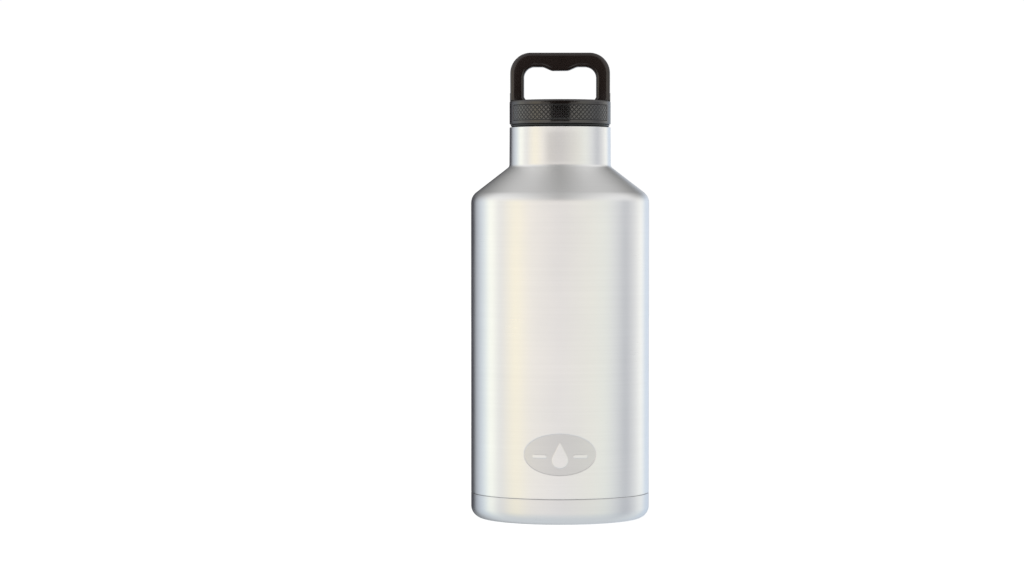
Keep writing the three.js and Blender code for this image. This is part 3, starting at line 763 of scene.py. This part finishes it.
def build_handle():
    top, half_width, half_depth = handle_high.z, handle_high.x, handle_high.y
    leg, bar, corner, opening, easing = 9.15, 9.35, 13.6, 7.2, 2.8
    foot, knee = CAP_TOP + GAP, CAP_TOP + 3.5
    inner_x, underside = half_width - leg, top - bar
    bump_low = underside - 2.5
    bump = rounded([(0, bump_low, 0), (5.4, bump_low, 5), (11.2, underside, 5),
                    (inner_x - opening, underside, 0)], closed=False, step=3)
    bump_x, bump_z = zip(*bump)

    stations = []  # pairs of places on the outer and inner edges, from the middle to a foot
    for share in np.linspace(0, 1, 29):
        x = share * (inner_x - opening)
        stations.append(((share * (half_width - corner), top), (x, np.interp(x, bump_x, bump_z))))
    for angle in np.radians(np.linspace(90, 0, 19))[1:]:
        stations.append(tuple(
            (edge - radius + radius * math.cos(angle), level - radius + radius * math.sin(angle))
            for edge, level, radius in ((half_width, top, corner), (inner_x, underside, opening))))
    outer_z, inner_z = top - corner, underside - opening
    for share in (0.25, 0.5, 0.75, 1):
        stations.append(((half_width, outer_z + (knee - outer_z) * share),
                         (inner_x, inner_z + (knee - inner_z) * share)))
    flare = rounded([(inner_x, knee - 0.2, 0), (inner_x, foot + 2, 1.5), (inner_x - 1.3, foot, 0)],
                    closed=False, step=6)
    stations += [((half_width - 0.25 * (z < foot + 0.01), z), (x, z)) for x, z in flare]
    mirrored = [((-a[0], a[1]), (-b[0], b[1])) for a, b in reversed(stations)]
    stations = mirrored[:-1] + stations

    sections = []
    for outer, inner in stations:
        outer, inner = np.array(outer), np.array(inner)
        width = np.linalg.norm(inner - outer)
        across = (inner - outer) / width
        section = rounded([(0, -half_depth, easing), (width, -half_depth, easing),
                           (width, half_depth, easing), (0, half_depth, easing)])
        places = [outer + across * s for s, _ in section]
        sections.append([(p[0], y, p[1]) for p, (_, y) in zip(places, section)])
    mesh = make_mesh("handle", *loft(np.array(sections, float), wrap=False))
    parts = []
    recess_y, recess_top = EAR_HALF_DEPTH + GAP, cap_high.z + GAP
    for side in (1, -1):
        x = sorted((side * TENON_INNER_X, side * TENON_OUTER_X))
        tenon = block((x[0], -TENON_HALF_DEPTH, handle_low.z), (x[1], TENON_HALF_DEPTH, foot + 1))
        parts.append(("UNION", *tenon))
        x = sorted((side * (EAR_INNER_X - GAP), side * (half_width + 1)))
        recess = block((x[0], -recess_y, foot - 1), (x[1], recess_y, recess_top))
        parts.append(("DIFFERENCE", *recess))
    mesh = combine(mesh, parts)
    add_piece("handle_skin", mesh, "lid", "satin_black_plastic", satin_black, "carry_handle")


build_shell()
build_base()
build_liner()
build_seals()
build_plug()
build_cap()
build_panel("grip_front", -math.pi / 2, "grip_panel_front")
build_panel("grip_rear", math.pi / 2, "grip_panel_rear")
build_handle()


# ---------------------------------------------------------------- camera, floor and light

eye, target = Vector((0, -2.017, 0.201)), Vector((-0.0319, 0, 0.15223))
camera_data = bpy.data.cameras.new("camera")
camera_data.lens = 106.86
camera = bpy.data.objects.new("camera", camera_data)
bpy.context.scene.collection.objects.link(camera)
camera.location = eye
camera.rotation_euler = (target - eye).to_track_quat("-Z", "Y").to_euler()
bpy.context.scene.camera = camera

floor_material, floor_tree, floor_shader = new_material(
    "pale_floor", Roughness=0.7, Specular_IOR_Level=0.2, Emission_Strength=0.6)
floor_shader.inputs["Emission Color"].default_value = (1, 1, 1, 1)
floor_tone = noise(floor_tree, object_place(floor_tree), 3, 2)
floor_tree.links.new(mixed(floor_tree, floor_tone, (0.84, 0.84, 0.84), (0.86, 0.86, 0.86)),
                     floor_shader.inputs["Base Color"])
floor_mesh = bpy.data.meshes.new("floor")
floor_work = bmesh.new()
bmesh.ops.create_circle(floor_work, cap_ends=True, segments=96, radius=4)
floor_work.to_mesh(floor_mesh)
floor_work.free()
floor_mesh.materials.append(floor_material)
floor = bpy.data.objects.new("floor", floor_mesh)
bpy.context.scene.collection.objects.link(floor)
floor.visible_glossy = False  # the steel shows the studio's panels right down to its base

# The studio is a ring of soft panels round the object, with a dark gap at the left rear, under a
# dimmer ceiling. Each panel has its azimuth, in degrees from the front, and its colour.
PANELS = (
    (-180, (0.05, 0.05, 0.06)),
    (-148, (0.05, 0.05, 0.06)),
    (-140, (0.42, 0.44, 0.48)),
    (-126, (0.66, 0.71, 0.78)),
    (-114, (0.875, 0.94, 0.96)),
    (-102, (1.29, 1.285, 1.13)),
    (-84, (0.905, 0.88, 0.865)),
    (-60, (1.22, 1.105, 0.85)),
    (-38, (1.105, 1.025, 0.935)),
    (0, (1.065, 0.995, 0.96)),
    (40, (1.025, 0.985, 0.885)),
    (60, (0.965, 0.97, 0.885)),
    (76, (0.805, 0.81, 0.81)),
    (94, (0.53, 0.54, 0.58)),
    (114, (0.86, 0.86, 0.86)),
    (129, (1.15, 1.14, 1.085)),
    (146, (0.70, 0.79, 0.91)),
    (162, (0.73, 0.80, 0.90)),
    (180, (0.60, 0.60, 0.62)),
)
PEAK = 1.3  # over every panel, because a ramp holds its colours from 0 to 1
CEILING, CEILING_SIDES = 0.47, 0.52
BELOW = (0.84, 0.84, 0.84)
LOW_TINT = (0.85, 0.9, 0.935)  # what dims and cools the panels below eye level
BACKDROP = (1.02, 1.02, 1.02)

world = bpy.data.worlds.new("studio")
world.use_nodes = True
bpy.context.scene.world = world
sky = world.node_tree
direction = node(sky, "ShaderNodeTexCoord").outputs["Generated"]
across, away, upward = node(sky, "ShaderNodeSeparateXYZ", {0: direction}).outputs
azimuth = maths(sky, "ARCTAN2", across, maths(sky, "MULTIPLY", away, -1.0))
ramp = node(sky, "ShaderNodeValToRGB", {0: rescaled(sky, azimuth, -math.pi, math.pi, 0, 1)})
stops = ramp.color_ramp.elements
for _ in PANELS[2:]:
    stops.new(0.5)
for stop, (degrees, colour) in zip(stops, PANELS):
    stop.position = (degrees + 180) / 360
    stop.color = (*(c / PEAK for c in colour), 1)
ring = node(sky, "ShaderNodeVectorMath", {0: ramp.outputs[0], 1: (PEAK, PEAK, PEAK)},
            operation="MULTIPLY").outputs[0]
# The ceiling is brighter to each side than overhead, and darker towards the back.
sideways = maths(sky, "ABSOLUTE", across)
sides = maths(sky, "ADD", CEILING, maths(sky, "MULTIPLY", sideways, CEILING_SIDES))
ceiling = maths(sky, "MULTIPLY", sides, rescaled(sky, away, 0.32, 0.8, 1.0, 0.34))
overhead = rescaled(sky, upward, 0.12, 0.38, 0, 1)
studio = mixed(sky, overhead, ring, ceiling)
studio = mixed(sky, rescaled(sky, upward, -0.8, -0.1, 1, 0), studio, BELOW)
tint = mixed(sky, rescaled(sky, upward, -0.2, -0.02, 1, 0), (1, 1, 1), LOW_TINT)
studio = node(sky, "ShaderNodeVectorMath", {0: studio, 1: tint}, operation="MULTIPLY").outputs[0]
seen = node(sky, "ShaderNodeLightPath").outputs["Is Camera Ray"]
sky.links.new(mixed(sky, seen, studio, BACKDROP), sky.nodes["Background"].inputs["Color"])


def dark_card(name, points, darkness, fades=()):
    """A flat card that dims what is seen through its front side, and is clear from behind. It
    shows in reflections only. Each fade is an X where it is clear and one where it is darkest."""
    material = bpy.data.materials.new(name)
    material.use_nodes = True
    tree = material.node_tree
    tree.nodes.clear()
    black = node(tree, "ShaderNodeEmission", {"Strength": 0.0}).outputs[0]
    clear = node(tree, "ShaderNodeBsdfTransparent").outputs[0]
    from_behind = node(tree, "ShaderNodeNewGeometry").outputs["Backfacing"]
    across = node(tree, "ShaderNodeSeparateXYZ", {0: object_place(tree)}).outputs[0]
    clearness = maths(tree, "MAXIMUM", from_behind, 1 - darkness)
    for clear_x, dark_x in fades:
        faded = rescaled(tree, across, clear_x, dark_x, 1, 1 - darkness)
        clearness = maths(tree, "MAXIMUM", clearness, faded)
    surface = node(tree, "ShaderNodeMixShader", {0: clearness, 1: black, 2: clear}).outputs[0]
    node(tree, "ShaderNodeOutputMaterial", {"Surface": surface})
    mesh = bpy.data.meshes.new(name)
    mesh.from_pydata(points, [], [tuple(range(len(points)))])
    mesh.materials.append(material)
    card = bpy.data.objects.new(name, mesh)
    bpy.context.scene.collection.objects.link(card)
    for kind in ("camera", "diffuse", "transmission", "volume_scatter", "shadow"):
        setattr(card, "visible_" + kind, False)


# A card slopes up and away from the front of the lid, which sees its black upper side. It is
# clear to the steel below. Its half width at each distance is narrow for the grip panel, and
# wide for the handle.
card_y, card_z, card_slope = -0.034, 0.2565, 0.7
reach = ((0.007, 0.0095), (0.029, 0.0195), (0.030, 0.048), (0.08, 0.048), (0.72, 0.32))
outline = [(-half, d) for d, half in reach] + [(half, d) for d, half in reversed(reach)]
dark_card("lid_card", [(x, card_y - d, card_z + card_slope * d) for x, d in outline], 1.0)

# A faint one with soft sides stands close to the front of the neck.
left, right, low, high, card_y = -0.019, 0.034, 0.2345, 0.2562, -0.0396
corners = [(left, card_y, low), (left, card_y, high), (right, card_y, high), (right, card_y, low)]
dark_card("neck_card", corners, 0.21, fades=((left, -0.010), (right, -0.004)))

bpy.context.scene.view_settings.view_transform = "Standard"
